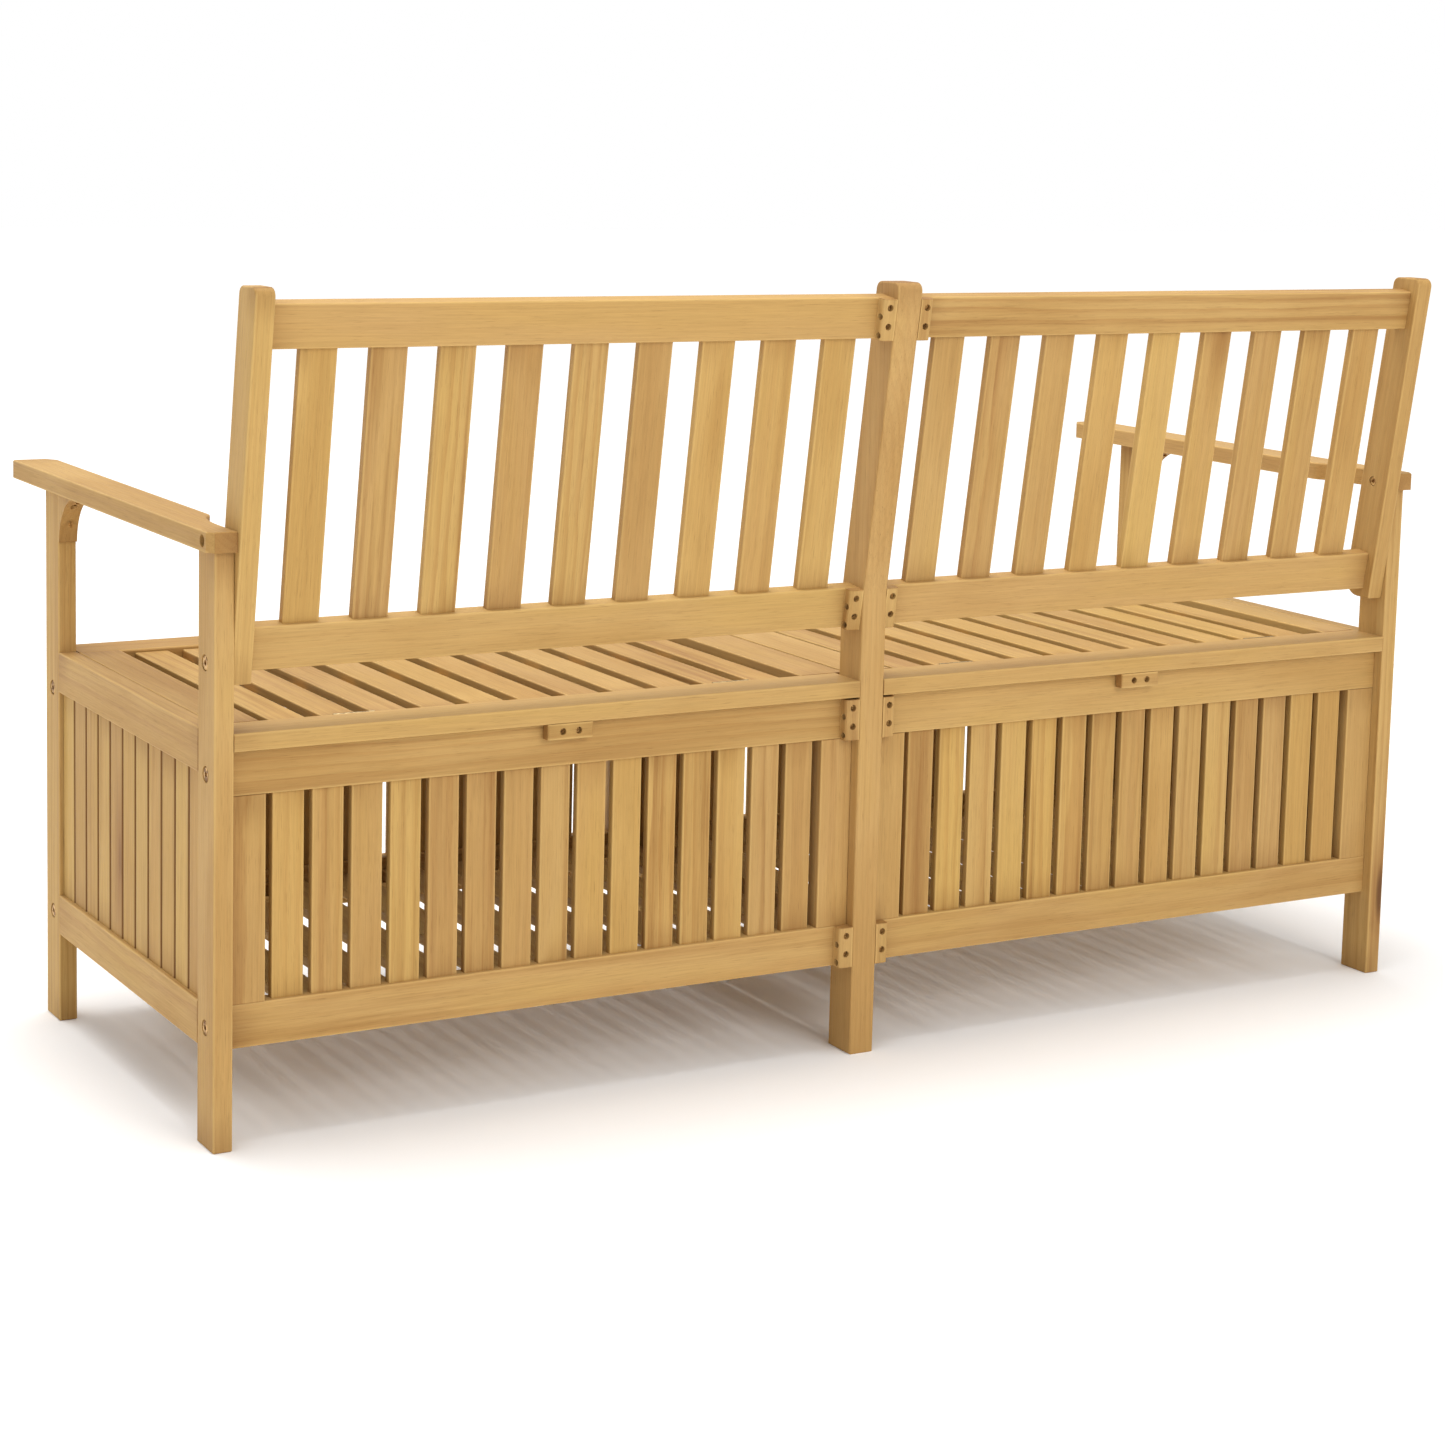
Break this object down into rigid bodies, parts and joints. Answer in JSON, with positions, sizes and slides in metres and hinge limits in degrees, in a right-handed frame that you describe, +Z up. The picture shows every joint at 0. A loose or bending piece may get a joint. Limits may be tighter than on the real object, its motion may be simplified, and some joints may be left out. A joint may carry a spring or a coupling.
{
  "type": "slatted garden storage bench",
  "caption": "Slatted wooden garden storage bench: leaning slatted back, armrests and slatted lids over a storage compartment in each bay.",
  "frame": {"origin": "centre of the bounding box's footprint, on the ground", "axes": "+Z up, +X along the bench to the sitter's left, -Y the front that the sitter faces, +Y the back"},
  "size_m": [1.5, 0.662, 0.84],
  "materials": {
    "frame_wood": "oiled light hardwood boards, satin",
    "slat_wood": "oiled light hardwood slats, satin, tone varies from slat to slat",
    "hinge_metal": "yellow-passivated steel butt hinges",
    "fastener_metal": "zinc-plated screws and bolts, dulled"
  },
  "bodies": {
    "frame": {"rear_leg_left": "frame_wood", "rear_leg_right": "frame_wood", "front_leg_left": "frame_wood", "front_leg_right": "frame_wood", "centre_rear_post": "frame_wood", "centre_front_leg": "frame_wood", "back_post_left": "frame_wood", "back_post_right": "frame_wood", "armrest_left": "frame_wood", "armrest_right": "frame_wood", "armrest_braces": "frame_wood", "backrest_top_rails": "frame_wood", "backrest_lower_rails": "frame_wood", "rear_panel_bottom_rails": "frame_wood", "rear_panel_top_rails": "frame_wood", "front_panel_bottom_rails": "frame_wood", "front_panel_top_rails": "frame_wood", "end_panel_bottom_rails": "frame_wood", "end_panel_top_rails": "frame_wood", "rear_panel_stiles": "frame_wood", "front_panel_stiles": "frame_wood", "centre_cross_rails": "frame_wood", "floor_ledgers": "frame_wood", "seat_cleats": "frame_wood", "lid_ledges": "frame_wood", "seat_rear_rail_left": "frame_wood", "seat_rear_rail_right": "frame_wood", "seat_front_rail_left": "frame_wood", "seat_front_rail_right": "frame_wood", "seat_stiles_left": "frame_wood", "seat_stiles_right": "frame_wood", "corner_blocks": "frame_wood", "seat_blocks": "frame_wood", "backrest_slats_left": "slat_wood", "backrest_slats_right": "slat_wood", "rear_panel_slats_left": "slat_wood", "rear_panel_slats_right": "slat_wood", "front_panel_slats_left": "slat_wood", "front_panel_slats_right": "slat_wood", "end_panel_slats_left": "slat_wood", "end_panel_slats_right": "slat_wood", "floor_slats_left": "slat_wood", "floor_slats_right": "slat_wood", "hinge_fixed_leaves": "hinge_metal", "hinge_pins": "hinge_metal", "block_screws": "fastener_metal", "brace_screws": "fastener_metal", "rail_bolts": "fastener_metal", "post_bolts": "fastener_metal", "hinge_screws_frame": "fastener_metal"},
    "lid_left": {"lid_left_slats": "slat_wood", "lid_left_battens": "frame_wood", "hinge_lid_leaves_left": "hinge_metal", "hinge_screws_lid_left": "fastener_metal"},
    "lid_right": {"lid_right_slats": "slat_wood", "lid_right_battens": "frame_wood", "hinge_lid_leaves_right": "hinge_metal", "hinge_screws_lid_right": "fastener_metal"}
  },
  "joints": [
    {"name": "lid_left_hinge", "type": "hinge", "parent": "frame", "child": "lid_left", "pos_m": [0.36, 0.2235, 0.4102], "axis": [-1, 0, 0], "range_deg": [0, 99]},
    {"name": "lid_right_hinge", "type": "hinge", "parent": "frame", "child": "lid_right", "pos_m": [-0.36, 0.2235, 0.4102], "axis": [-1, 0, 0], "range_deg": [0, 99]}
  ]
}
